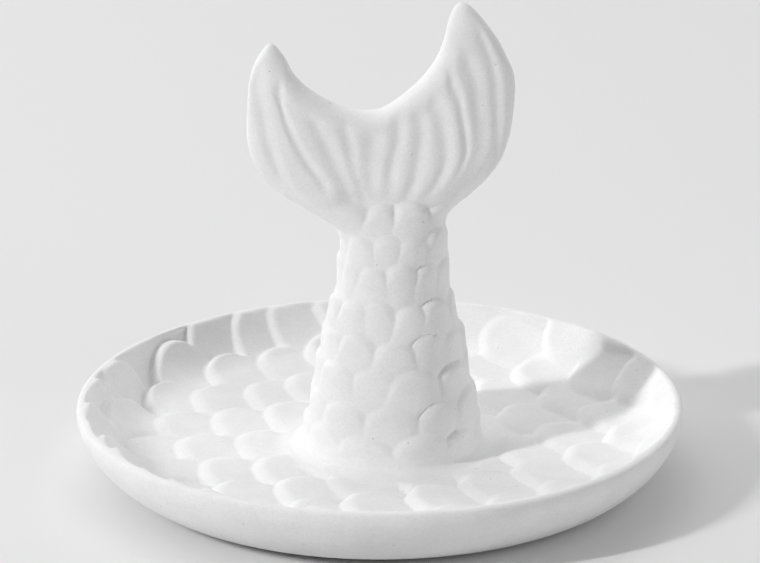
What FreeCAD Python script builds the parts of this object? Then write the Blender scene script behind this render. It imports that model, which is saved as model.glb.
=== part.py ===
import FreeCAD
import Part
import math
import os

os.makedirs("parts", exist_ok=True)

# A ring dish of plain white fired clay: a round scaled dish with a mermaid tail standing in it.
# The dish and the hollow tail are two castings, luted together with a layer of slip.
# Frame: origin on the table under the middle of the dish, X to the right, Y to the back, Z up.

# Dish: outside
dish_diameter = 114.0
dish_height = 13.5
lip_round = 1.3
foot_overhang = 12.5
foot_ring_width = 6.0
foot_recess_depth = 1.2
vent_diameter = 6.0

# Dish: inside
seat_height = 4.5
wall_foot_inset = 7.2
wall_foot_height = 6.2
lip_width = 1.8
wall_foot_round = 11.0
lip_inner_round = 0.8

# Dish: scales, laid in curved rows about a point behind and to the left of the dish
fan_left = 60.0
fan_back = 119.0
first_row_radius = 59.5
row_pitch = 12.0
scale_round = 7.5
scale_run = 16.0
scale_rise = 2.0
scale_edge = 3.0
scale_wander = 0.5
seat_fade = 2.5
wall_lead = 7.0
lip_plain = 0.2
lip_fade = 0.9

# Slip joint
slip_thickness = 0.4
bead_width = 2.4
bead_rise = 1.8
bead_margin = 0.4

# Tail: overall
tail_right = 2.4
foot_width = 34.0
stem_height = 40.6
neck_width = 19.6
neck_depth = 17.0
fluke_height = 44.4
fluke_width = 49.0
fluke_left = 2.25
root_depth = 13.0
blade_depth = 9.6
tip_depth = 7.0
casting_wall = 4.5
core_gap = 6.0

# Tail: scales round the stem
stem_scale_length = 12.0
stem_scale_rise = 1.5
stem_scale_edge = 1.9
stem_scale_sink = 1.0
stem_wander = 0.5
plain_band = 1.8

# Tail: fan grooves in the fluke
groove_depth = 0.6
groove_width = 1.5
groove_sway = 0.25

# Rows of dish scales from the back: where the first free edge lies as a share of a right angle
# round from the right, and the pitch as a share of the distance between the rows
dish_row_shares = [(0.8, 0.79), (0.762, 0.81), (0.898, 0.93), (0.976, 0.825), (0.966, 0.9), (0.943, 0.89),
                   (0.928, 0.883), (0.876, 0.94), (0.832, 0.975), (0.784, 0.975), (0.767, 0.96)]

# Rows of stem scales from the top: height of the tips as a share of the stem's height, how many stand
# round the stem, and the place of one of them right of the front as a share of the turn
stem_row_shares = [(1.185, 8, -0.05), (1.054, 10, -0.022), (0.916, 11, -0.064), (0.744, 11, -0.039),
                   (0.591, 11, 0.003), (0.451, 10, -0.044), (0.298, 10, 0.0), (0.155, 10, -0.05)]

# Stem width between neck and foot, as shares of height and of the flare
taper_shares = [(0.0, 1.0), (0.2, 0.83), (0.37, 0.63), (0.55, 0.44), (0.75, 0.15), (1.0, 0.0)]

# Fluke sides, as shares of the fluke's height and of its reach past the neck
left_shares = [(0.0, 0.0), (0.05, 0.08), (0.12, 0.375), (0.19, 0.665), (0.26, 0.845), (0.33, 0.95),
               (0.41, 1.0), (0.56, 0.995), (0.64, 0.98), (0.71, 0.945), (0.777, 0.867)]
right_shares = [(0.0, 0.0), (0.08, 0.01), (0.12, 0.09), (0.19, 0.385), (0.26, 0.63), (0.33, 0.8),
                (0.4, 0.893), (0.47, 0.95), (0.57, 0.99), (0.64, 1.0), (0.71, 0.967),
                (0.777, 0.86), (0.845, 0.736), (0.913, 0.57)]

# Crescent between the two horns, left to right, as shares of half the width and of the height
crescent_shares = [(-0.818, 0.827), (-0.724, 0.777), (-0.659, 0.708), (-0.549, 0.64), (-0.361, 0.574),
                   (-0.2, 0.546), (-0.09, 0.541), (0.03, 0.556), (0.231, 0.64), (0.345, 0.708),
                   (0.422, 0.777), (0.467, 0.845), (0.496, 0.913), (0.541, 0.979), (0.598, 1.0),
                   (0.671, 0.979)]

# Grooves across the fluke, left to right: place low down, place high up and depth, as shares
groove_shares = [(0.09, 0.04, 0.9), (0.27, 0.125, 1.0), (0.37, 0.265, 1.0), (0.415, 0.36, 0.9),
                 (0.45, 0.435, 1.0), (0.52, 0.52, 1.0), (0.62, 0.59, 0.9), (0.74, 0.66, 1.0),
                 (0.84, 0.745, 1.0), (0.91, 0.83, 1.0), (0.96, 0.91, 0.8)]

# Depth of the fluke between neck and tips, as shares of the fluke's height
root_share = 0.14
blade_share = 0.4
edge_share = 0.86

# Outer wall of the dish below the lip, as shares of the overhang past the foot and of the height
wall_out_shares = [(1.0, 0.96), (1.0, 0.89), (1.0, 0.8), (0.87, 0.54), (0.63, 0.26), (0.3, 0.065)]

# Shares that shape the relief
edge_power_share = 2
side_tilt_share = 0.45
back_tilt_share = 0.5
swell_share = 0.08
wall_swell_share = 1.0
wall_crisp_share = 0.6
stem_tilt_share = 0.85
stem_side_share = 0.05
stem_crown_share = 0.15
stem_round_share = 0.4
stem_lap_share = 1.15
stem_melt_share = 0.6
stem_swell_share = 0.1
stem_slide_share = 0.06
stem_lean_share = 0.06
shoulder_share = 0.36
shoulder_fade_share = 0.25
groove_fade_shares = (0.2, 0.42, 0.8, 0.95)
groove_late_share = 0.05
groove_early_share = 0.03
groove_spread_share = 0.25
groove_wave_shares = (9, 3)
groove_edge_share = 0.5
blade_power_share = 0.6
bow_power_share = 1.2
bead_hollow_share = 0.46

# Shares that change the unevenness of hand work from one scale to the next
row_wander_share = 1.7
column_wander_share = 2.9
kind_wander_share = 0.6

# Fineness of the modelled surfaces
round_count = 320
well_count = 56
side_count = 64
stem_count = 60
fluke_count = 36
nose_count = 7
bend_count = 16

# Places worked out from the sizes above
dish_radius = dish_diameter / 2
foot_radius = dish_radius - foot_overhang
crest_radius = dish_radius - lip_round
wall_foot_radius = dish_radius - wall_foot_inset
wall_top_radius = dish_radius - lip_width
tail_foot_radius = foot_width / 2
seat_radius = tail_foot_radius + bead_width + bead_margin
tail_foot_height = seat_height + slip_thickness
neck_height = tail_foot_height + stem_height
fluke_half = fluke_width / 2
reach_left = fluke_half + fluke_left - neck_width / 2
reach_right = fluke_half - fluke_left - neck_width / 2


def wander(row, column, kind):
    """Hand-made unevenness between -1 and 1, always the same for one scale or groove."""
    turn = (row_wander_share + kind) * row
    return math.sin(turn + (column_wander_share - kind_wander_share * kind) * column)


def smooth(value):
    """Eased step from 0 to 1."""
    value = min(max(value, 0), 1)
    return value * value * (3 - 2 * value)


def rounded_rise(value):
    """Step from 0 to 1 that starts steeply and rounds over at the top."""
    return 1 - (1 - min(max(value, 0), 1)) ** edge_power_share


def through(stations, place):
    """Smooth curve through stations (place, value), flat outside them."""
    if place <= stations[0][0]:
        return stations[0][1]
    if place >= stations[-1][0]:
        return stations[-1][1]
    index = 0
    while stations[index + 1][0] < place:
        index += 1
    slopes = []
    for end in (index, index + 1):
        low = stations[max(end - 1, 0)]
        high = stations[min(end + 1, len(stations) - 1)]
        slopes.append((high[1] - low[1]) / (high[0] - low[0]))
    start, stop = stations[index], stations[index + 1]
    span = stop[0] - start[0]
    part = (place - start[0]) / span
    keep = (1 + 2 * part) * (1 - part) ** 2
    lead = part * (1 - part) ** 2 * span
    tail = part * part * (part - 1) * span
    return keep * start[1] + (1 - keep) * stop[1] + lead * slopes[0] + tail * slopes[1]


def rounded_path(corners, rounds, count):
    """Points (radius, height, lean) evenly along a path whose inner corners are rounded."""
    track = [corners[0]]
    for before, corner, after, bend in zip(corners, corners[1:], corners[2:], rounds):
        back = math.atan2(before[1] - corner[1], before[0] - corner[0])
        ahead = math.atan2(after[1] - corner[1], after[0] - corner[0])
        opening = (back - ahead) % (2 * math.pi)
        opening = min(opening, 2 * math.pi - opening)
        reach = bend / math.tan(opening / 2)
        first = (corner[0] + reach * math.cos(back), corner[1] + reach * math.sin(back))
        last = (corner[0] + reach * math.cos(ahead), corner[1] + reach * math.sin(ahead))
        weight = math.sin(opening / 2)
        for step in range(bend_count + 1):
            share = step / bend_count
            a = (1 - share) ** 2
            b = 2 * share * (1 - share) * weight
            c = share ** 2
            total = a + b + c
            track.append(((a * first[0] + b * corner[0] + c * last[0]) / total,
                          (a * first[1] + b * corner[1] + c * last[1]) / total))
    track.append(corners[-1])
    lengths = [0]
    for start, stop in zip(track, track[1:]):
        lengths.append(lengths[-1] + math.dist(start, stop))
    points = []
    leg = 0
    for number in range(count):
        place = lengths[-1] * number / (count - 1)
        while leg < len(track) - 2 and lengths[leg + 1] < place:
            leg += 1
        start, stop = track[leg], track[leg + 1]
        share = (place - lengths[leg]) / (lengths[leg + 1] - lengths[leg])
        lean = math.atan2(stop[1] - start[1], stop[0] - start[0])
        points.append((start[0] + share * (stop[0] - start[0]),
                       start[1] + share * (stop[1] - start[1]), lean, place, lengths[-1]))
    return points


def dish_relief(x, y, edge):
    """Height of the overlapping dish scales about their middle level, free ends to the back and left.

    Each scale rounds off over the width of the edge.
    """
    east, north = x + fan_left, y - fan_back
    radius = math.hypot(east, north)
    bearing = math.atan2(north, east)
    height = 0
    for row, (start_share, pitch_share) in enumerate(dish_row_shares):
        tip = first_row_radius + row_pitch * row
        pitch = row_pitch * pitch_share
        along = (bearing + start_share * math.pi / 2) * (tip + scale_round)
        last = math.floor((along + scale_wander) / pitch)
        first = math.floor((along - scale_wander - 2 * scale_round) / pitch)
        for column in range(first, last + 1):
            right = along - column * pitch - scale_round - scale_wander * wander(row, column, 0)
            front = radius - tip - scale_round - scale_wander * wander(row, column, 1)
            run = scale_round if front < 0 else scale_run
            depth = scale_round * (1 - math.hypot(right / scale_round, front / run))
            if depth <= 0:
                continue
            across = (right + scale_round) / pitch
            plate = 1 - side_tilt_share * across * (1 + across) / 2
            plate -= back_tilt_share * (front + scale_round) / row_pitch
            plate += swell_share * wander(row, column, 2)
            height += (scale_rise * plate - height) * rounded_rise(depth / edge)
    return height - scale_rise / 2


def stem_relief(x, y, height):
    """Height of the overlapping stem scales at a place on the plain tail, free ends upward."""
    angle, girth = math.atan2(x, -y), math.hypot(x, y)
    relief = 0
    for row, (rise_share, count, turn_share) in enumerate(stem_row_shares):
        tip = tail_foot_height + stem_height * rise_share
        turn = 2 * math.pi / count
        pitch = turn * girth
        spot = angle / turn - turn_share * count
        under = relief
        for column in range(round(spot) - 1, round(spot) + 2):
            slide, drop, swell, lean = [wander(row, column % count, kind) for kind in range(4)]
            down = tip + stem_wander * drop - height
            half = stem_lap_share * pitch / 2 * (1 + swell_share * swell)
            across = (spot - column - stem_slide_share * slide) * pitch - stem_lean_share * lean * down
            across = across / half
            corner = stem_round_share * pitch
            depth = half * (1 - math.hypot(across, max(1 - down / corner, 0)))
            depth += stem_melt_share * max(down - corner, 0)
            if depth <= 0 or down > stem_scale_length:
                continue
            plate = 1 - stem_tilt_share * down / stem_scale_length + stem_swell_share * swell
            plate -= stem_crown_share * across ** 2 + stem_side_share * across
            rise = (stem_scale_rise * plate - under) * rounded_rise(depth / stem_scale_edge)
            relief = max(relief, under + rise)
    top = tail_foot_height + stem_height * stem_row_shares[0][0]
    low = smooth((height - tail_foot_height - plain_band) / plain_band)
    high = smooth((top + 2 * plain_band - height) / (2 * plain_band))
    shoulder = smooth((height - neck_height) / plain_band)
    shoulder *= smooth((abs(x) / neck_width - shoulder_share) / shoulder_fade_share)
    return (relief - stem_scale_sink) * low * high * (1 - shoulder)


def fan_grooves(across, rise, span):
    """Share of the groove depth at a place on a row of the fluke that is span long."""
    start, full, keep, stop = groove_fade_shares
    climb = min(max((rise - full) / (keep - full), 0), 1)
    ridge = 1
    for number, (low, high, deep) in enumerate(groove_shares):
        late, wave, wide = [wander(number, 0, kind) for kind in range(3)]
        ends = smooth((rise - start - groove_late_share * late) / (full - start))
        ends *= smooth((stop + groove_early_share * wave - rise) / (stop - keep))
        sway = math.sin(groove_wave_shares[0] * rise + groove_wave_shares[1] * wave)
        away = (across - low - (high - low) * climb) * span + groove_sway * sway
        away /= groove_width * (1 + groove_spread_share * wide)
        ridge *= 1 - ends * deep * math.exp(-away * away)
    return 1 - ridge


def ring_face(rows):
    """Face through closed rings of points, from the first ring to the last."""
    ring_count, count = len(rows), len(rows[0])
    degree = min(3, ring_count - 1)
    inner = ring_count - degree - 1
    ends = [degree + 1]
    surface = Part.BSplineSurface()
    surface.buildFromPolesMultsKnots(
        rows, ends + [1] * inner + ends, [1] * (count + 1),
        list(range(inner + 2)), list(range(count + 1)), False, True, degree, 3)
    return surface.toShape()


def sheet_face(rows):
    """Face through open rows of points."""
    sizes = (len(rows), len(rows[0]))
    inners = [size - 4 for size in sizes]
    mults = [[4] + [1] * inner + [4] for inner in inners]
    knots = [list(range(inner + 2)) for inner in inners]
    surface = Part.BSplineSurface()
    surface.buildFromPolesMultsKnots(rows, mults[0], mults[1], knots[0], knots[1], False, False, 3, 3)
    return surface.toShape()


def ring(radius, height, shift=0):
    """Ring of poles whose smooth curve is a true circle of the radius."""
    step = 2 * math.pi / round_count
    reach = radius * 3 / (2 + math.cos(step))
    return [FreeCAD.Vector(shift + reach * math.cos(step * n), reach * math.sin(step * n), height)
            for n in range(round_count)]


def ring_edge(poles):
    """Closed edge on a ring of poles."""
    curve = Part.BSplineCurve()
    curve.buildFromPolesMultsKnots(poles, [1] * (round_count + 1),
                                   list(range(round_count + 1)), True, 3)
    return curve.toShape()


def flat_ring(outer, inner):
    """Flat face between two rings of poles."""
    wires = [Part.Wire(ring_edge(poles)) for poles in (outer, inner)]
    return Part.makeFace(wires, "Part::FaceMakerBullseye")


def closed_solid(faces):
    """Solid inside a set of faces that share their edges."""
    shell = Part.makeCompound(faces)
    shell.sewShape()
    solid = Part.Solid(shell.Shells[0])
    if solid.Volume < 0:
        solid.reverse()
    return solid


def make_dish():
    """Dish with scaled well, lip, outer wall, foot ring and vent."""
    corners = [(seat_radius, seat_height), (wall_foot_radius, wall_foot_height),
               (wall_top_radius, dish_height), (crest_radius, dish_height)]
    path = rounded_path(corners, (wall_foot_round, lip_inner_round), well_count)
    step = 2 * math.pi / round_count
    widen = 3 / (2 + math.cos(step))
    floor_run = wall_foot_radius - seat_radius
    well = []
    for radius, height, lean, place, whole in path:
        fade = smooth(place / seat_fade) * smooth((whole - lip_plain - place) / lip_fade)
        climb = smooth((place - floor_run + wall_lead) / wall_lead)
        shift = tail_right * (1 - smooth(place / floor_run))
        spread = seat_radius + place
        row = []
        for number in range(round_count):
            east, north = math.cos(step * number), math.sin(step * number)
            relief = 0
            if fade > 0:
                # The scales stand out most on the left wall, where their free ends point up it
                stand = climb * (1 - east) / 2
                edge = scale_edge * (1 - wall_crisp_share * stand)
                relief = dish_relief(shift + spread * east, spread * north, edge)
                relief *= fade * (1 + wall_swell_share * stand)
            reach = (radius - relief * math.sin(lean)) * widen
            row.append(FreeCAD.Vector(shift + reach * east, reach * north,
                                      height + relief * math.cos(lean)))
        well.append(row)
    outside = [ring(crest_radius, dish_height), ring((crest_radius + dish_radius) / 2, dish_height)]
    for out_share, up_share in wall_out_shares:
        outside.append(ring(foot_radius + foot_overhang * out_share, dish_height * up_share))
    outside.append(ring(foot_radius, 0))
    recess_radius = foot_radius - foot_ring_width
    recess_low = ring(recess_radius, 0)
    recess_high = ring(recess_radius, foot_recess_depth)
    vent_low = ring(vent_diameter / 2, foot_recess_depth, tail_right)
    vent_high = ring(vent_diameter / 2, seat_height, tail_right)
    faces = [ring_face(well), ring_face(outside)]
    faces.append(flat_ring(outside[-1], recess_low))
    faces.append(ring_face([recess_low, recess_high]))
    faces.append(flat_ring(recess_high, vent_low))
    faces.append(ring_face([vent_low, vent_high]))
    faces.append(flat_ring(well[0], vent_high))
    return closed_solid(faces)


def stem_half(height):
    """Half width of the stem at a height."""
    flare = through(taper_shares, (height - tail_foot_height) / stem_height)
    return (neck_width + flare * (foot_width - neck_width)) / 2


def side_place(shares, reach, sense, rise):
    """Place on a side of the fluke, at a share of that side's own rise."""
    top = shares[-1][0]
    level = rise * top
    out = neck_width / 2 + reach * through(shares, level)
    return (sense * out, neck_height + fluke_height * level)


def crescent():
    """Points of the edge between the horns, from the left side to the right side."""
    points = [side_place(left_shares, reach_left, -1, 1)]
    for across, up in crescent_shares:
        points.append((across * fluke_half - fluke_left, neck_height + up * fluke_height))
    points.append(side_place(right_shares, reach_right, 1, 1))
    return points


def edge_place(points, share):
    """Place at a share of the length of the smooth edge through the points."""
    lengths = [0]
    for start, stop in zip(points, points[1:]):
        lengths.append(lengths[-1] + math.dist(start, stop))
    spot = share * lengths[-1]
    across = through([(place, point[0]) for place, point in zip(lengths, points)], spot)
    up = through([(place, point[1]) for place, point in zip(lengths, points)], spot)
    return across, up


def fluke_row(rise, nose, sense, edge):
    """One row of poles across the fluke, front or back."""
    left = side_place(left_shares, reach_left, -1, rise)
    right = side_place(right_shares, reach_right, 1, rise)
    first, last = edge[0], edge[-1]
    edge_span = sum(math.dist(start, stop) for start, stop in zip(edge, edge[1:]))
    span = math.dist(left, right) * (1 - rise) + edge_span * rise
    depth = through([(0, neck_depth), (root_share, root_depth), (blade_share, blade_depth),
                     (1, tip_depth)], rise) / 2
    power = 2 + smooth(rise / blade_share) * blade_power_share
    row = []
    for number in range(side_count + 1):
        share = (1 - math.cos(math.pi * number / side_count)) / 2
        bow_x = edge[number][0] - first[0] - share * (last[0] - first[0])
        bow_z = edge[number][1] - first[1] - share * (last[1] - first[1])
        bend = rise ** bow_power_share
        x = left[0] + share * (right[0] - left[0]) + bend * bow_x
        z = left[1] + share * (right[1] - left[1]) + bend * bow_z
        bulge = (1 - abs(2 * share - 1) ** power) ** (1 / power)
        groove = groove_depth * fan_grooves(share, rise, span) * smooth(bulge / groove_edge_share)
        y = nose * (depth * bulge - groove)
        relief = stem_relief(x, -sense * y, z)
        x -= relief * math.cos(math.pi * number / side_count)
        y += relief * math.sin(math.pi * number / side_count)
        if number in (0, side_count):
            y = 0
        row.append(FreeCAD.Vector(tail_right + x, -sense * y, z))
    return row


def stem_row(height, sense):
    """One row of poles round half of the stem, front or back."""
    half = stem_half(height)
    share = (height - tail_foot_height) / stem_height
    squash = 1 - smooth(share) * (1 - neck_depth / neck_width)
    row = []
    for number in range(side_count + 1):
        turn = math.pi * number / side_count
        depth = half * squash * math.sin(turn)
        relief = stem_relief(-half * math.cos(turn), -sense * depth, height)
        depth += relief * math.sin(turn)
        if number in (0, side_count):
            depth = 0
        row.append(FreeCAD.Vector(tail_right - (half + relief) * math.cos(turn), -sense * depth, height))
    return row


def make_tail():
    """Hollow tail: front and back faces that meet along its outline, open core at the foot."""
    points = crescent()
    edge = [edge_place(points, (1 - math.cos(math.pi * n / side_count)) / 2) for n in range(side_count + 1)]
    sheets = []
    for sense in (1, -1):
        rows = []
        for number in range(stem_count):
            rows.append(stem_row(tail_foot_height + stem_height * number / stem_count, sense))
        for number in range(fluke_count):
            rows.append(fluke_row(edge_share * number / fluke_count, 1, sense, edge))
        for number in range(nose_count + 1):
            turn = math.pi / 2 * number / nose_count
            rise = edge_share + (1 - edge_share) * math.sin(turn)
            nose = math.cos(turn) if number < nose_count else 0
            rows.append(fluke_row(rise, nose, sense, edge))
        sheets.append(sheet_face(rows))
    core_foot = tail_foot_radius - casting_wall
    core_top = neck_width / 2 - casting_wall
    core_height = neck_height - core_gap
    axis = FreeCAD.Vector(tail_right, 0, 0)
    up = FreeCAD.Vector(0, 0, 1)
    profile = [(core_foot, tail_foot_height), (core_top, core_height - core_top)]
    spots = [FreeCAD.Vector(tail_right + radius, 0, height) for radius, height in profile]
    peak = FreeCAD.Vector(tail_right, 0, core_height)
    turn = math.pi / 4
    knee = FreeCAD.Vector(tail_right + core_top * math.cos(turn), 0,
                          core_height - core_top * (1 - math.sin(turn)))
    core = [Part.LineSegment(spots[0], spots[1]).toShape().revolve(axis, up, 360),
            Part.Arc(spots[1], knee, peak).toShape().revolve(axis, up, 360)]
    foot_edges = []
    for sheet in sheets:
        for rim in sheet.Edges:
            if rim.BoundBox.ZMax < tail_foot_height + plain_band / 2:
                foot_edges.append(rim)
    hole = Part.makeCircle(core_foot, FreeCAD.Vector(tail_right, 0, tail_foot_height), up)
    wires = [Part.Wire(foot_edges), Part.Wire(hole)]
    foot = Part.makeFace(wires, "Part::FaceMakerBullseye")
    return closed_solid(sheets + core + [foot])


def make_slip_joint():
    """Layer of slip under the tail's foot with the wiped bead round it."""
    core_foot = tail_foot_radius - casting_wall
    bead_top = tail_foot_height + bead_rise
    outline = [(core_foot, seat_height), (tail_foot_radius + bead_width, seat_height),
               (stem_half(bead_top), bead_top), (tail_foot_radius, tail_foot_height),
               (core_foot, tail_foot_height)]
    spots = [FreeCAD.Vector(tail_right + radius, 0, height) for radius, height in outline]
    hollow_radius = tail_foot_radius + bead_width * bead_hollow_share
    hollow = FreeCAD.Vector(tail_right + hollow_radius, 0, tail_foot_height)
    lines = []
    for start, stop in zip(spots, spots[1:] + spots[:1]):
        if start == spots[1]:
            lines.append(Part.Arc(start, hollow, stop).toShape())
        else:
            lines.append(Part.LineSegment(start, stop).toShape())
    axis = FreeCAD.Vector(tail_right, 0, 0)
    return Part.Face(Part.Wire(lines)).revolve(axis, FreeCAD.Vector(0, 0, 1), 360)


for name, make in (("dish", make_dish), ("tail", make_tail), ("slip_joint", make_slip_joint)):
    shape = make()
    shape.exportStep("parts/" + name + ".step")
    print(name, shape.isValid(), round(shape.Volume), shape.BoundBox)
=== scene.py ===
import math

import bpy
import numpy as np
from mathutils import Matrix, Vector


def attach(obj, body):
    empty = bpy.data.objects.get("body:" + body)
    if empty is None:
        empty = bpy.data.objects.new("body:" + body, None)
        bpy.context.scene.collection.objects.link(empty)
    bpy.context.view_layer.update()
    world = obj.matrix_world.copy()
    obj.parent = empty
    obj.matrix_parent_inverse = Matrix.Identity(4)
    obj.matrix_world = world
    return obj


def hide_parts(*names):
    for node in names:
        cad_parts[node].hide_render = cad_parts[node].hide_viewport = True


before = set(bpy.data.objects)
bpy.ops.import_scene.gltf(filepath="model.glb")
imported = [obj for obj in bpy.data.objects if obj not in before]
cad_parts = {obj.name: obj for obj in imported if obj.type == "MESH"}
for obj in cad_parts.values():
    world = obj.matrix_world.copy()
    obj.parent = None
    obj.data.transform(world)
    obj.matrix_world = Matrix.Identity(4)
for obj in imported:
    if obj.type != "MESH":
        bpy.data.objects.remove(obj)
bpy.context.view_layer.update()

# A ring dish of white bisque: a scaled dish, a mermaid tail and the slip that lutes them together.
# Lengths are in millimetres and become metres when they are written to a mesh.
MM = 0.001

# Dish
DISH_RADIUS = 56.98
DISH_HEIGHT = 13.5
LIP_ROUND = 1.3
CREST_RADIUS = DISH_RADIUS - LIP_ROUND
FOOT_RADIUS = 44.5
FOOT_RING_WIDTH = 6.0
FOOT_RING_ROUND = 0.4
FOOT_RECESS = 1.2
VENT_RADIUS = 3.0
SEAT_HEIGHT = 4.5
SEAT_RADIUS = 19.8
WALL_FOOT = (49.8, 6.2)
WALL_TOP_RADIUS = 55.2
WALL_FOOT_ROUND = 11.0
LIP_INNER_ROUND = 0.8
SEAT_FADE = 2.5
LIP_PLAIN, LIP_FADE = 0.2, 0.9

# Outer wall below the lip, as shares of the overhang past the foot and of the height
WALL_OUT_SHARES = [(1.0, 0.96), (1.0, 0.89), (1.0, 0.8),
                   (0.87, 0.54), (0.63, 0.26), (0.3, 0.065)]

# Scales in the dish: rows curve about a point behind the dish and to its left, the back row
# first, each with the bearing in degrees of its first free left edge and the pitch of its scales
FAN_LEFT, FAN_BACK = 60.0, 119.0
FIRST_ROW, ROW_PITCH = 59.5, 12.0
DISH_SCALE_ROWS = [(-72, 9.5), (-68.6, 9.7), (-80.8, 11.2), (-87.8, 9.9), (-86.9, 10.8),
                   (-84.9, 10.7), (-83.5, 10.6), (-78.8, 11.3), (-74.9, 11.7), (-70.6, 11.7),
                   (-69, 11.5)]
DISH_COLUMNS = (-4, 15)
SCALE_ROUND = 7.5
SCALE_RUN = 16.0
SCALE_RISE = 2.0
SCALE_EDGE = 3.0
EDGE_POWER = 2.0
SIDE_TILT, BACK_TILT = 0.45, 0.5
SCALE_SWELL = 0.08

# On the left wall the scales stand higher and crisper: shares of that, and the run to get there
WALL_SWELL, WALL_CRISP, WALL_LEAD = 1.0, 0.6, 7.0

# Tail
TAIL_RIGHT = 2.4
FOOT_HEIGHT = 4.9
STEM_HEIGHT = 40.6
NECK_HEIGHT = FOOT_HEIGHT + STEM_HEIGHT
FOOT_WIDTH, NECK_WIDTH, NECK_DEPTH = 34.0, 19.6, 17.0
FLUKE_HEIGHT, FLUKE_WIDTH, FLUKE_LEFT = 44.3, 49.0, 2.25
REACH_LEFT = (FLUKE_WIDTH - NECK_WIDTH) / 2 + FLUKE_LEFT
REACH_RIGHT = (FLUKE_WIDTH - NECK_WIDTH) / 2 - FLUKE_LEFT
CASTING_WALL = 4.5
CORE_TOP = 39.5

# Stem width between foot and neck, as shares of the height and of the flare
TAPER = [(0.0, 1.0), (0.2, 0.83), (0.37, 0.63), (0.55, 0.44), (0.75, 0.15), (1.0, 0.0)]

# Scales round the stem, top row first: height of the tips, how many stand round the stem, and
# how many degrees right of the front one of them stands
STEM_SCALE_ROWS = [(53.0, 8, -18), (47.7, 10, -8), (42.1, 11, -23), (35.1, 11, -14),
                   (28.9, 11, 1), (23.2, 10, -16), (17.0, 10, 0), (11.2, 10, -18)]
STEM_RISE = 1.5
STEM_EDGE = 1.9
STEM_LENGTH = 12.0
STEM_TILT, STEM_SIDE, STEM_CROWN = 0.85, 0.05, 0.15
STEM_ROUND = 0.4
STEM_LAP = 1.15
STEM_MELT = 0.6
STEM_SWELL, STEM_SPREAD = 0.1, 0.08
STEM_SLIDE, STEM_LEAN = 0.06, 0.06
STEM_SINK = 1.0
SLIT_DEPTH, SLIT_WIDTH = 0.3, 0.45
SLIT_SIDE = (33, 60)
SLIT_STOP, SLIT_STOP_SPREAD = 0.1, 0.5
SLIT_ABOVE, SLIT_BELOW = 1.0, 0.2
PLAIN_BAND = 1.8
SHOULDER, SHOULDER_FADE = 0.36, 0.25

# Fluke sides, as shares of the fluke's height and of its reach past the neck
LEFT_SIDE = [(0.0, 0.0), (0.05, 0.08), (0.12, 0.375), (0.19, 0.665), (0.26, 0.845), (0.33, 0.95),
             (0.41, 1.0), (0.56, 0.995), (0.64, 0.98), (0.71, 0.945), (0.777, 0.867)]
RIGHT_SIDE = [(0.0, 0.0), (0.08, 0.01), (0.12, 0.09), (0.19, 0.385), (0.26, 0.63), (0.33, 0.8),
              (0.4, 0.893), (0.47, 0.95), (0.57, 0.99), (0.64, 1.0), (0.71, 0.967),
              (0.777, 0.86), (0.845, 0.736), (0.913, 0.57)]

# Crescent between the horns, left to right, as shares of half the width and of the height
CRESCENT = [(-0.818, 0.827), (-0.724, 0.777), (-0.659, 0.708), (-0.549, 0.64), (-0.361, 0.574),
            (-0.2, 0.546), (-0.09, 0.541), (0.03, 0.556), (0.231, 0.64), (0.345, 0.708),
            (0.422, 0.777), (0.467, 0.845), (0.496, 0.913), (0.541, 0.979), (0.598, 1.0),
            (0.671, 0.979)]

# Fan grooves, left to right: place low down, place high up and depth, as shares
GROOVES = [(0.09, 0.04, 0.9), (0.27, 0.125, 1.0), (0.37, 0.265, 1.0), (0.415, 0.36, 0.9),
           (0.45, 0.435, 1.0), (0.52, 0.52, 1.0), (0.62, 0.59, 0.9), (0.74, 0.66, 1.0),
           (0.84, 0.745, 1.0), (0.91, 0.83, 1.0), (0.96, 0.91, 0.8)]
GROOVE_DEPTH, GROOVE_WIDTH = 0.6, 1.5
GROOVE_FADE = (0.2, 0.42, 0.8, 0.95)
GROOVE_LATE, GROOVE_EARLY = 0.05, 0.03
GROOVE_SWAY, GROOVE_WAVES = 0.25, (9, 3)
GROOVE_SPREAD = 0.25
GROOVE_EDGE = 0.5
FLUKE_DEPTH = [(0.0, NECK_DEPTH), (0.14, 13.0), (0.4, 9.6), (1.0, 7.0)]
NOSE_START = 0.86
BLADE_START, BLADE_POWER = 0.4, 0.6
BOW_POWER = 1.2

# Slip bead round the tail's foot
BEAD_WIDTH, BEAD_RISE = 2.4, 1.8
BEAD_SINK = 0.05
BEAD_POWER = 5

# Lamps: degrees round from the front to the left, degrees up, width and height in metres, watts
LAMP_DISTANCE = 2.0
LAMPS = [("key", (63, 32), (0.07, 0.4), 20.0), ("low", (130, 18), (0.8, 0.6), 5.6),
         ("back", (135, 52), (1.2, 1.2), 5.6), ("top", (180, 62), (1.2, 1.2), 6.8),
         ("fill", (315, 30), (1.2, 1.2), 6.4), ("rim", (225, 22), (1.0, 0.8), 2.0)]
SKY, SKY_LEAN = 0.29, (0.06, 0.22, 0.0)

# Studio: paper floor and camera, in metres and degrees
FLOOR_SIZE, FLOOR_GREY, FLOOR_ROUGHNESS = 12, 0.83, 0.9
LAMP_TARGET = (0, 0, 0.02)
SENSOR_WIDTH, LENS, CLIP_START = 36, 157.57, 0.05
CAMERA_CLIMB, CAMERA_DISTANCE, CAMERA_CENTRE = 20.97, 0.627, 0.0135
CAMERA_PITCH = 18.993

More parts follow.
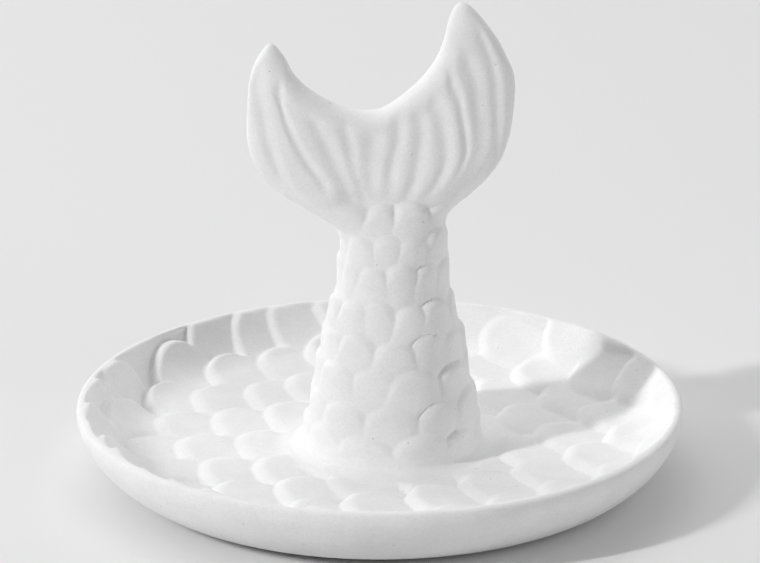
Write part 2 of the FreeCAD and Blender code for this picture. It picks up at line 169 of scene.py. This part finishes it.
# Bisque: noise scales per metre with their detail, then the ranges that they are spread over
MOTTLE, GRAIN, SHEEN = (160, 5), (2400, 3), (900, 2)
NOISE_RANGE = (0.3, 0.7)
# The pinholes' darker colour is painted shade inside the pits
MOTTLE_SHADES, GRAIN_SHADES, PINHOLE_PAINTED_SHADE = (0.895, 0.945), (0.93, 1.0), (0.7, 1.0)
ROUGHNESS = (0.82, 0.96)
PINHOLES, PINHOLE_RANGE = 300, (0.03, 0.065)
BUMP_STRENGTH, BUMP_DISTANCE = 0.45, 0.0001
SPECULAR = 0.2

# Unevenness of hand work: how it changes from scale to scale
ROW_WANDER, COLUMN_WANDER, KIND_WANDER = 1.7, 2.9, 0.6
SCALE_WANDER, STEM_WANDER = 0.5, 0.5

# Fineness of the meshes
DISH_STEPS = 720
WELL_POINTS = 100
WALL_POINTS = 24
TAIL_ACROSS = 150
STEM_ROWS = 150
FLUKE_ROWS = 96
NOSE_ROWS = 10
BEAD_STEPS = 180
BEAD_POINTS, BEAD_SPACING = 24, 1.6
BEND_POINTS = 17
CORE_TURNS = (0, 30, 60, 80)
SHADE_ANGLE = 50
MERGE = 0.01
SEAM = 1e-6


def wander(row, column, kind):
    """Hand-made unevenness between -1 and 1, always the same for one scale or groove."""
    return np.sin((ROW_WANDER + kind) * row + (COLUMN_WANDER - KIND_WANDER * kind) * column)


def smooth(value):
    """Eased step from 0 to 1."""
    value = np.clip(value, 0.0, 1.0)
    return value * value * (3 - 2 * value)


def rounded_rise(value):
    """Step from 0 to 1 that starts steeply and rounds over at the top."""
    return 1 - (1 - np.clip(value, 0.0, 1.0)) ** EDGE_POWER


def through(stations, place):
    """Smooth curve through stations, flat outside them."""
    xs, ys = np.array(stations, float).T
    slopes = np.empty_like(ys)
    slopes[1:-1] = (ys[2:] - ys[:-2]) / (xs[2:] - xs[:-2])
    slopes[0] = (ys[1] - ys[0]) / (xs[1] - xs[0])
    slopes[-1] = (ys[-1] - ys[-2]) / (xs[-1] - xs[-2])
    place = np.clip(np.asarray(place, float), xs[0], xs[-1])
    leg = np.clip(np.searchsorted(xs, place) - 1, 0, len(xs) - 2)
    span = xs[leg + 1] - xs[leg]
    part = (place - xs[leg]) / span
    keep = (1 + 2 * part) * (1 - part) ** 2
    lead = part * (1 - part) ** 2 * span
    trail = part * part * (part - 1) * span
    value = keep * ys[leg] + (1 - keep) * ys[leg + 1]
    return value + lead * slopes[leg] + trail * slopes[leg + 1]


def bent_line(poles, count):
    """Points along the smooth clamped curve that a line of poles pulls into shape."""
    poles = np.array(poles, float)
    inner = len(poles) - 4
    knots = np.concatenate([[0] * 3, np.arange(inner + 2), [inner + 1] * 3]).astype(float)
    points = []
    for place in np.linspace(0, inner + 1, count):
        leg = min(int(place), inner) + 3
        spots = [poles[leg - 3 + k].copy() for k in range(4)]
        for level in range(1, 4):
            for k in range(3, level - 1, -1):
                low = knots[leg - 3 + k]
                high = knots[leg + 1 + k - level]
                share = (place - low) / (high - low)
                spots[k] = (1 - share) * spots[k - 1] + share * spots[k]
        points.append(tuple(spots[3]))
    return points


def rounded_path(corners, rounds, count):
    """Evenly spaced (radius, height, lean, place) along a path with rounded inner corners."""
    track = [np.array(corners[0], float)]
    for before, corner, after, bend in zip(corners, corners[1:], corners[2:], rounds):
        before, corner, after = (np.array(spot, float) for spot in (before, corner, after))
        back = (before - corner) / np.linalg.norm(before - corner)
        ahead = (after - corner) / np.linalg.norm(after - corner)
        opening = math.acos(np.clip(back @ ahead, -1, 1))
        reach = bend / math.tan(opening / 2)
        weight = math.sin(opening / 2)
        for share in np.linspace(0, 1, BEND_POINTS):
            a, b, c = (1 - share) ** 2, 2 * share * (1 - share) * weight, share ** 2
            spot = a * (corner + reach * back) + b * corner + c * (corner + reach * ahead)
            track.append(spot / (a + b + c))
    track.append(np.array(corners[-1], float))
    track = np.array(track)
    runs = np.concatenate([[0], np.cumsum(np.linalg.norm(np.diff(track, axis=0), axis=1))])
    places = np.linspace(0, runs[-1], count)
    radius = np.interp(places, runs, track[:, 0])
    height = np.interp(places, runs, track[:, 1])
    lean = np.arctan2(np.gradient(height), np.gradient(radius))
    return radius, height, lean, places


def clear_selection():
    """Object mode with nothing selected."""
    if bpy.context.object and bpy.context.object.mode != "OBJECT":
        bpy.ops.object.mode_set(mode="OBJECT")
    bpy.ops.object.select_all(action="DESELECT")


def read_points(piece):
    """Vertex places of a piece, in millimetres."""
    flat = np.empty(len(piece.data.vertices) * 3)
    piece.data.vertices.foreach_get("co", flat)
    return flat.reshape(-1, 3) / MM


def write_points(piece, points):
    """Moves the vertices of a piece, places in millimetres."""
    piece.data.vertices.foreach_set("co", (points * MM).ravel())
    piece.data.update()


def close_mesh():
    """Merges doubles, turns all faces outwards and smooths the shading of the edited piece."""
    bpy.ops.mesh.select_all(action="SELECT")
    bpy.ops.mesh.remove_doubles(threshold=MERGE * MM)
    bpy.ops.mesh.normals_make_consistent(inside=False)
    bpy.ops.object.mode_set(mode="OBJECT")
    bpy.ops.object.shade_smooth_by_angle(angle=math.radians(SHADE_ANGLE))


def turned_piece(name, profile, steps):
    """Closed profile of (radius, height) drawn by extruding a corner point, then turned about Z."""
    clear_selection()
    bpy.ops.mesh.primitive_plane_add(size=MM)
    piece = bpy.context.object
    piece.name = piece.data.name = name
    bpy.ops.object.mode_set(mode="EDIT")
    bpy.ops.mesh.select_all(action="SELECT")
    bpy.ops.mesh.merge(type="CENTER")
    radius, height = profile[0]
    bpy.ops.transform.translate(value=(radius * MM, 0, height * MM))
    for start, stop in zip(profile, profile[1:] + profile[:1]):
        move = ((stop[0] - start[0]) * MM, 0, (stop[1] - start[1]) * MM)
        bpy.ops.mesh.extrude_region_move(TRANSFORM_OT_translate={"value": move})
    bpy.ops.mesh.select_all(action="SELECT")
    bpy.ops.mesh.remove_doubles(threshold=MERGE * MM)
    bpy.ops.object.mode_set(mode="OBJECT")
    bpy.ops.object.modifier_add(type="SCREW")
    lathe = piece.modifiers[-1]
    lathe.steps = lathe.render_steps = steps
    lathe.use_merge_vertices = True
    lathe.merge_threshold = MERGE * MM
    bpy.ops.object.modifier_apply(modifier=lathe.name)
    bpy.ops.object.mode_set(mode="EDIT")
    close_mesh()
    return piece


def dish_relief(x, y, edge):
    """Height of the overlapping dish scales, free ends to the back and left.

    It is measured from their middle level. Each scale rounds off over the width of the edge.
    """
    east, north = x + FAN_LEFT, y - FAN_BACK
    radius = np.hypot(east, north)
    bearing = np.arctan2(north, east)
    height = np.zeros_like(x)
    for row, (start, pitch) in enumerate(DISH_SCALE_ROWS):
        tip = FIRST_ROW + ROW_PITCH * row
        along = (bearing - math.radians(start)) * (tip + SCALE_ROUND)
        for column in range(*DISH_COLUMNS):
            slide, slip, swell = (wander(row, column, kind) for kind in range(3))
            right = along - column * pitch - SCALE_ROUND - SCALE_WANDER * slide
            front = radius - tip - SCALE_ROUND - SCALE_WANDER * slip
            run = np.where(front < 0, SCALE_ROUND, SCALE_RUN)
            depth = SCALE_ROUND * (1 - np.hypot(right / SCALE_ROUND, front / run))
            here = depth > 0
            if not here.any():
                continue
            right, front, depth = right[here], front[here], depth[here]
            share = (right + SCALE_ROUND) / pitch
            plate = 1 - SIDE_TILT * share * (1 + share) / 2
            plate = plate - BACK_TILT * (front + SCALE_ROUND) / ROW_PITCH + SCALE_SWELL * swell
            step = SCALE_RISE * plate - height[here]
            height[here] += step * rounded_rise(depth / edge[here])
    return height - SCALE_RISE / 2


def make_dish():
    """Turned dish with a scaled well."""
    corners = [(SEAT_RADIUS, SEAT_HEIGHT), WALL_FOOT, (WALL_TOP_RADIUS, DISH_HEIGHT),
               (CREST_RADIUS, DISH_HEIGHT)]
    rounds = (WALL_FOOT_ROUND, LIP_INNER_ROUND)
    radius, height, lean, place = rounded_path(corners, rounds, WELL_POINTS)
    overhang = DISH_RADIUS - FOOT_RADIUS
    poles = [(CREST_RADIUS, DISH_HEIGHT), ((CREST_RADIUS + DISH_RADIUS) / 2, DISH_HEIGHT)]
    poles += [(FOOT_RADIUS + overhang * out, DISH_HEIGHT * up) for out, up in WALL_OUT_SHARES]
    poles.append((FOOT_RADIUS, 0.0))
    recess = FOOT_RADIUS - FOOT_RING_WIDTH
    under = [(recess + FOOT_RING_ROUND, 0.0), (recess, FOOT_RING_ROUND), (recess, FOOT_RECESS),
             (VENT_RADIUS, FOOT_RECESS)]
    profile = [(VENT_RADIUS, SEAT_HEIGHT)] + list(zip(radius, height))
    profile += bent_line(poles, WALL_POINTS)[1:] + under
    piece = turned_piece("scaled_dish", profile, DISH_STEPS)

    points = read_points(piece)
    reach = np.hypot(points[:, 0], points[:, 1])
    east, north = points[:, 0] / reach, points[:, 1] / reach
    spot = np.full(len(points), -1)
    for number in range(WELL_POINTS):
        away = np.hypot(reach - radius[number], points[:, 2] - height[number])
        spot[away < MERGE] = number
    well = spot >= 0
    spot, east, north = spot[well], east[well], north[well]
    whole = place[-1]
    fade = smooth(place / SEAT_FADE) * smooth((whole - LIP_PLAIN - place) / LIP_FADE)
    floor_run = WALL_FOOT[0] - SEAT_RADIUS
    climb = smooth((place - floor_run + WALL_LEAD) / WALL_LEAD)[spot] * (1 - east) / 2
    edge = SCALE_EDGE * (1 - WALL_CRISP * climb)
    shift = TAIL_RIGHT * (1 - smooth(place / floor_run))
    spread = SEAT_RADIUS + place
    rise = dish_relief(shift[spot] + spread[spot] * east, spread[spot] * north, edge)
    rise = rise * fade[spot] * (1 + WALL_SWELL * climb)
    out = radius[spot] - rise * np.sin(lean[spot])
    up = height[spot] + rise * np.cos(lean[spot])
    points[well] = np.stack([shift[spot] + out * east, out * north, up], 1)
    points[reach < VENT_RADIUS + MERGE, 0] += TAIL_RIGHT
    write_points(piece, points)
    return piece


def stem_half(height):
    """Half width of the stem at a height."""
    flare = through(TAPER, (height - FOOT_HEIGHT) / STEM_HEIGHT)
    return (NECK_WIDTH + flare * (FOOT_WIDTH - NECK_WIDTH)) / 2


def stem_relief(x, y, height):
    """Height of the overlapping stem scales at places on the plain tail, free edges upward."""
    angle, girth = np.arctan2(x, -y), np.hypot(x, y)
    relief = np.zeros_like(height)
    for row, (top, count, first) in enumerate(STEM_SCALE_ROWS):
        turn = 2 * math.pi / count
        pitch = turn * girth
        spot = (angle - math.radians(first)) / turn
        under, cut = relief, np.zeros_like(height)
        covered = np.zeros(height.shape, bool)
        for step in (-1, 0, 1):
            column = np.round(spot).astype(int) + step
            shift, drop, swell, lean = (wander(row, column % count, kind) for kind in range(4))
            down = top + STEM_WANDER * drop - height
            half = STEM_LAP * pitch / 2 * (1 + STEM_SPREAD * swell)
            across = (spot - column - STEM_SLIDE * shift) * pitch - STEM_LEAN * lean * down
            across = across / half
            corner = STEM_ROUND * pitch
            over = 1 - down / corner
            depth = half * (1 - np.hypot(across, np.maximum(over, 0)))
            depth = depth + STEM_MELT * np.maximum(down - corner, 0)
            way = np.degrees(math.radians(first) + column * turn)
            slit = (way > SLIT_SIDE[0]) & (way < SLIT_SIDE[1]) & (top < NECK_HEIGHT)
            slit = slit & (depth < 0) & (across < SLIT_STOP + SLIT_STOP_SPREAD * lean)
            slit = slit & (down > -SLIT_ABOVE) & (over > -SLIT_BELOW)
            cut = np.maximum(cut, SLIT_DEPTH * slit * np.exp(-(depth / SLIT_WIDTH) ** 2))
            plate = 1 - STEM_TILT * down / STEM_LENGTH + STEM_SWELL * swell
            plate = plate - STEM_CROWN * across ** 2 - STEM_SIDE * across
            rise = (STEM_RISE * plate - under) * rounded_rise(depth / STEM_EDGE)
            here = (depth > 0) & (down < STEM_LENGTH)
            covered = covered | here
            relief = np.maximum(relief, under + np.where(here, rise, 0))
        relief = np.where(covered, relief, relief - cut)
    low = smooth((height - FOOT_HEIGHT - PLAIN_BAND) / PLAIN_BAND)
    shoulder = smooth((height - NECK_HEIGHT) / PLAIN_BAND)
    shoulder = shoulder * smooth((np.abs(x) / NECK_WIDTH - SHOULDER) / SHOULDER_FADE)
    high = smooth((STEM_SCALE_ROWS[0][0] + 2 * PLAIN_BAND - height) / (2 * PLAIN_BAND))
    return (relief - STEM_SINK) * low * high * (1 - shoulder)


def side_place(shares, reach, sense, rise):
    """Places on one side of the fluke, at shares of that side's own rise."""
    level = rise * shares[-1][0]
    out = NECK_WIDTH / 2 + reach * through(shares, level)
    return np.stack([sense * out, NECK_HEIGHT + FLUKE_HEIGHT * level], -1)


def crescent_edge(share):
    """Places at shares of the length of the edge between the horns, and that length."""
    points = [side_place(LEFT_SIDE, REACH_LEFT, -1, 1.0)]
    points += [np.array([across * FLUKE_WIDTH / 2 - FLUKE_LEFT, NECK_HEIGHT + up * FLUKE_HEIGHT])
               for across, up in CRESCENT]
    points.append(side_place(RIGHT_SIDE, REACH_RIGHT, 1, 1.0))
    points = np.array(points)
    runs = np.concatenate([[0], np.cumsum(np.linalg.norm(np.diff(points, axis=0), axis=1))])
    spots = [through(list(zip(runs, line)), share * runs[-1]) for line in points.T]
    return np.stack(spots, -1), runs[-1]


def fan_grooves(across, rise, span):
    """Share of the groove depth at places across the fluke."""
    start, full, keep, stop = GROOVE_FADE
    climb = np.clip((rise - full) / (keep - full), 0, 1)
    ridge = np.ones_like(across)
    for number, (low, high, deep) in enumerate(GROOVES):
        late, wave, wide = (wander(number, 0, kind) for kind in range(3))
        ends = smooth((rise - start - GROOVE_LATE * late) / (full - start))
        ends = ends * smooth((stop + GROOVE_EARLY * wave - rise) / (stop - keep))
        sway = np.sin(GROOVE_WAVES[0] * rise + GROOVE_WAVES[1] * wave)
        away = (across - low - (high - low) * climb) * span + GROOVE_SWAY * sway
        away = away / (GROOVE_WIDTH * (1 + GROOVE_SPREAD * wide))
        ridge = ridge * (1 - ends * deep * np.exp(-away * away))
    return 1 - ridge


def tail_shape(across, row_place, sense):
    """Plain skin of the tail and how far round it each place lies.

    Across runs from 0 at the left to 1, the row place from 0 at the foot to 1 at the top.
    """
    turn = math.pi * across
    share = (1 - np.cos(turn)) / 2
    rows = STEM_ROWS + FLUKE_ROWS + NOSE_ROWS
    stem_end, fluke_end = STEM_ROWS / rows, (STEM_ROWS + FLUKE_ROWS) / rows
    on_stem = row_place < stem_end
    height = FOOT_HEIGHT + STEM_HEIGHT * np.minimum(row_place / stem_end, 1)
    half = stem_half(height)
    squash = 1 - smooth((height - FOOT_HEIGHT) / STEM_HEIGHT) * (1 - NECK_DEPTH / NECK_WIDTH)
    roll = math.pi / 2 * np.clip((row_place - fluke_end) / (1 - fluke_end), 0, 1)
    rise = NOSE_START * np.clip((row_place - stem_end) / (fluke_end - stem_end), 0, 1)
    rise = rise + (1 - NOSE_START) * np.sin(roll)
    left = side_place(LEFT_SIDE, REACH_LEFT, -1, rise)
    right = side_place(RIGHT_SIDE, REACH_RIGHT, 1, rise)
    edge, edge_span = crescent_edge(share)
    ends, _ = crescent_edge(np.array([0.0, 1.0]))
    bow = edge - ends[0] - share[:, None] * (ends[1] - ends[0])
    spot = left + share[:, None] * (right - left) + (rise ** BOW_POWER)[:, None] * bow
    span = np.linalg.norm(right - left, axis=1) * (1 - rise) + edge_span * rise
    power = 2 + smooth(rise / BLADE_START) * BLADE_POWER
    bulge = (1 - np.abs(2 * share - 1) ** power) ** (1 / power)
    depth = through(FLUKE_DEPTH, rise) / 2 * bulge
    groove = GROOVE_DEPTH * fan_grooves(share, rise, span) * smooth(bulge / GROOVE_EDGE)
    depth = np.cos(roll) * (depth - groove)
    x = np.where(on_stem, -half * np.cos(turn), spot[:, 0])
    y = np.where(on_stem, half * squash * np.sin(turn), depth)
    y[np.sin(turn) < SEAM] = 0
    return np.stack([x, -sense * y, np.where(on_stem, height, spot[:, 1])], 1), turn


def make_tail():
    """Hollow tail: front and back sheets joined along the outline, cored from the foot."""
    rows = STEM_ROWS + FLUKE_ROWS + NOSE_ROWS
    sheets, skins, turns = [], [], []
    for sense in (1, -1):
        clear_selection()
        bpy.ops.mesh.primitive_grid_add(x_subdivisions=TAIL_ACROSS, y_subdivisions=rows, size=1)
        sheets.append(bpy.context.object)
        flat = read_points(sheets[-1]) * MM
        skin, turn = tail_shape(flat[:, 0] + 0.5, flat[:, 1] + 0.5, sense)
        skins.append(skin)
        turns.append(turn)
    skin, turn = np.concatenate(skins), np.concatenate(turns)
    rise = stem_relief(skin[:, 0], skin[:, 1], skin[:, 2])
    skin[:, 0] -= rise * np.cos(turn)
    skin[:, 1] += rise * np.sin(turn) * np.sign(skin[:, 1])
    skin[:, 0] += TAIL_RIGHT
    for sheet, part in zip(sheets, np.split(skin, 2)):
        write_points(sheet, part)
    clear_selection()
    for sheet in sheets:
        sheet.select_set(True)
    bpy.context.view_layer.objects.active = sheets[0]
    bpy.ops.object.join()
    piece = bpy.context.object
    piece.name = piece.data.name = "mermaid_tail"
    bpy.ops.object.mode_set(mode="EDIT")
    bpy.ops.mesh.select_all(action="SELECT")
    bpy.ops.mesh.remove_doubles(threshold=MERGE * MM)
    bpy.ops.mesh.select_all(action="DESELECT")
    bpy.ops.object.mode_set(mode="OBJECT")
    for vertex in piece.data.vertices:
        vertex.select = vertex.co.z < (FOOT_HEIGHT + MERGE) * MM
    bpy.ops.object.mode_set(mode="EDIT")
    bpy.ops.mesh.select_mode(type="VERT")
    core_foot = FOOT_WIDTH / 2 - CASTING_WALL
    core_top = NECK_WIDTH / 2 - CASTING_WALL
    rings = [(core_foot, FOOT_HEIGHT)]
    for turn in np.radians(CORE_TURNS):
        rings.append((core_top * math.cos(turn), CORE_TOP - core_top * (1 - math.sin(turn))))
    size, level = FOOT_WIDTH / 2, FOOT_HEIGHT
    for ring, height in rings:
        move = (0, 0, (height - level) * MM)
        bpy.ops.mesh.extrude_region_move(TRANSFORM_OT_translate={"value": move})
        bpy.ops.transform.resize(value=(ring / size, ring / size, 1),
                                 center_override=(TAIL_RIGHT * MM, 0, height * MM))
        size, level = ring, height
    bpy.ops.mesh.edge_face_add()
    close_mesh()
    return piece


def make_slip_joint():
    """Wiped layer of slip under the tail's foot, hollowed where the finger ran round it."""
    foot = FOOT_WIDTH / 2
    core_foot = foot - CASTING_WALL
    profile = [(core_foot, SEAT_HEIGHT)]
    for share in np.linspace(0, 1, BEAD_POINTS) ** BEAD_SPACING:
        level = SEAT_HEIGHT + share * (FOOT_HEIGHT + BEAD_RISE - SEAT_HEIGHT)
        skin = float(stem_half(max(level, FOOT_HEIGHT)))
        profile.append((skin - BEAD_SINK + BEAD_WIDTH * (1 - share) ** BEAD_POWER, level))
    profile += [(foot, FOOT_HEIGHT), (core_foot, FOOT_HEIGHT)]
    piece = turned_piece("slip_bead", profile, BEAD_STEPS)
    points = read_points(piece)
    points[:, 0] += TAIL_RIGHT
    write_points(piece, points)
    return piece


def bisque(name):
    """Matte fired clay: faint mottling, fine grain and scattered pinholes darkened with painted
    shade.
    """
    material = bpy.data.materials.new(name)
    material.use_nodes = True
    nodes, links = material.node_tree.nodes, material.node_tree.links
    shader = nodes["Principled BSDF"]
    shader.inputs["Specular IOR Level"].default_value = SPECULAR
    place = nodes.new("ShaderNodeTexCoord")

    def noise(scale, detail):
        node = nodes.new("ShaderNodeTexNoise")
        node.inputs["Scale"].default_value = scale
        node.inputs["Detail"].default_value = detail
        links.new(place.outputs["Object"], node.inputs["Vector"])
        return node.outputs["Fac"]

    def span(value, before, after):
        node = nodes.new("ShaderNodeMapRange")
        for number, level in enumerate(before + after):
            node.inputs[number + 1].default_value = level
        links.new(value, node.inputs["Value"])
        return node.outputs["Result"]

    def times(first, second):
        node = nodes.new("ShaderNodeMath")
        node.operation = "MULTIPLY"
        links.new(first, node.inputs[0])
        links.new(second, node.inputs[1])
        return node.outputs["Value"]

    pits = nodes.new("ShaderNodeTexVoronoi")
    pits.inputs["Scale"].default_value = PINHOLES
    links.new(place.outputs["Object"], pits.inputs["Vector"])
    pinholes = span(pits.outputs["Distance"], PINHOLE_RANGE, (0, 1))
    mottle = span(noise(*MOTTLE), NOISE_RANGE, MOTTLE_SHADES)
    grain = noise(*GRAIN)
    shade = times(mottle, span(grain, NOISE_RANGE, GRAIN_SHADES))
    # Pinholes are darkened here with painted shade inside the pits; the bump below also dents them
    shade = times(shade, span(pinholes, (0, 1), PINHOLE_PAINTED_SHADE))
    links.new(shade, shader.inputs["Base Color"])
    links.new(span(noise(*SHEEN), NOISE_RANGE, ROUGHNESS), shader.inputs["Roughness"])
    bump = nodes.new("ShaderNodeBump")
    bump.inputs["Strength"].default_value = BUMP_STRENGTH
    bump.inputs["Distance"].default_value = BUMP_DISTANCE
    links.new(times(grain, pinholes), bump.inputs["Height"])
    links.new(bump.outputs["Normal"], shader.inputs["Normal"])
    return material


def dress(piece, node, material):
    """Gives a finished piece its material, hides the CAD node that it stands in for and puts it in
    its body.
    """
    piece.data.materials.clear()
    piece.data.materials.append(material)
    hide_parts(node)
    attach(piece, "root")


def make_studio():
    """Pale floor, soft light and the camera."""
    clear_selection()
    bpy.ops.mesh.primitive_plane_add(size=FLOOR_SIZE)
    floor = bpy.context.object
    floor.name = "floor"
    paper = bpy.data.materials.new("pale_paper")
    paper.use_nodes = True
    inputs = paper.node_tree.nodes["Principled BSDF"].inputs
    inputs["Base Color"].default_value = (FLOOR_GREY, FLOOR_GREY, FLOOR_GREY, 1)
    inputs["Roughness"].default_value = FLOOR_ROUGHNESS
    floor.data.materials.append(paper)

    world = bpy.data.worlds.new("soft_sky")
    world.use_nodes = True
    nodes, links = world.node_tree.nodes, world.node_tree.links
    nodes["Background"].inputs["Color"].default_value = (1, 1, 1, 1)
    place = nodes.new("ShaderNodeTexCoord")
    side = nodes.new("ShaderNodeVectorMath")
    side.operation = "DOT_PRODUCT"
    side.inputs[1].default_value = SKY_LEAN
    glow = nodes.new("ShaderNodeMath")
    glow.inputs[1].default_value = SKY
    links.new(place.outputs["Generated"], side.inputs[0])
    links.new(side.outputs["Value"], glow.inputs[0])
    links.new(glow.outputs["Value"], nodes["Background"].inputs["Strength"])
    bpy.context.scene.world = world

    target = Vector(LAMP_TARGET)
    for name, (turn, climb), size, power in LAMPS:
        turn, climb = math.radians(turn), math.radians(climb)
        flat = math.cos(climb)
        away = Vector((-math.sin(turn) * flat, -math.cos(turn) * flat, math.sin(climb)))
        lamp = bpy.data.lights.new(name, "AREA")
        lamp.shape = "RECTANGLE"
        lamp.size, lamp.size_y = size
        lamp.energy = power
        holder = bpy.data.objects.new(name, lamp)
        holder.location = target + LAMP_DISTANCE * away
        holder.rotation_euler = away.to_track_quat("Z", "Y").to_euler()
        bpy.context.scene.collection.objects.link(holder)

    camera = bpy.data.cameras.new("camera")
    camera.sensor_width = SENSOR_WIDTH
    camera.lens = LENS
    camera.clip_start = CLIP_START
    holder = bpy.data.objects.new("camera", camera)
    climb = math.radians(CAMERA_CLIMB)
    holder.location = (0, -CAMERA_DISTANCE * math.cos(climb),
                       CAMERA_CENTRE + CAMERA_DISTANCE * math.sin(climb))
    holder.rotation_euler = (math.radians(90 - CAMERA_PITCH), 0, 0)
    bpy.context.scene.collection.objects.link(holder)
    bpy.context.scene.camera = holder
    bpy.context.scene.view_settings.view_transform = "Standard"


clay = bisque("bisque")
slip = bisque("fired_slip")
dress(make_dish(), "dish", clay)
dress(make_tail(), "tail", clay)
dress(make_slip_joint(), "slip_joint", slip)
make_studio()
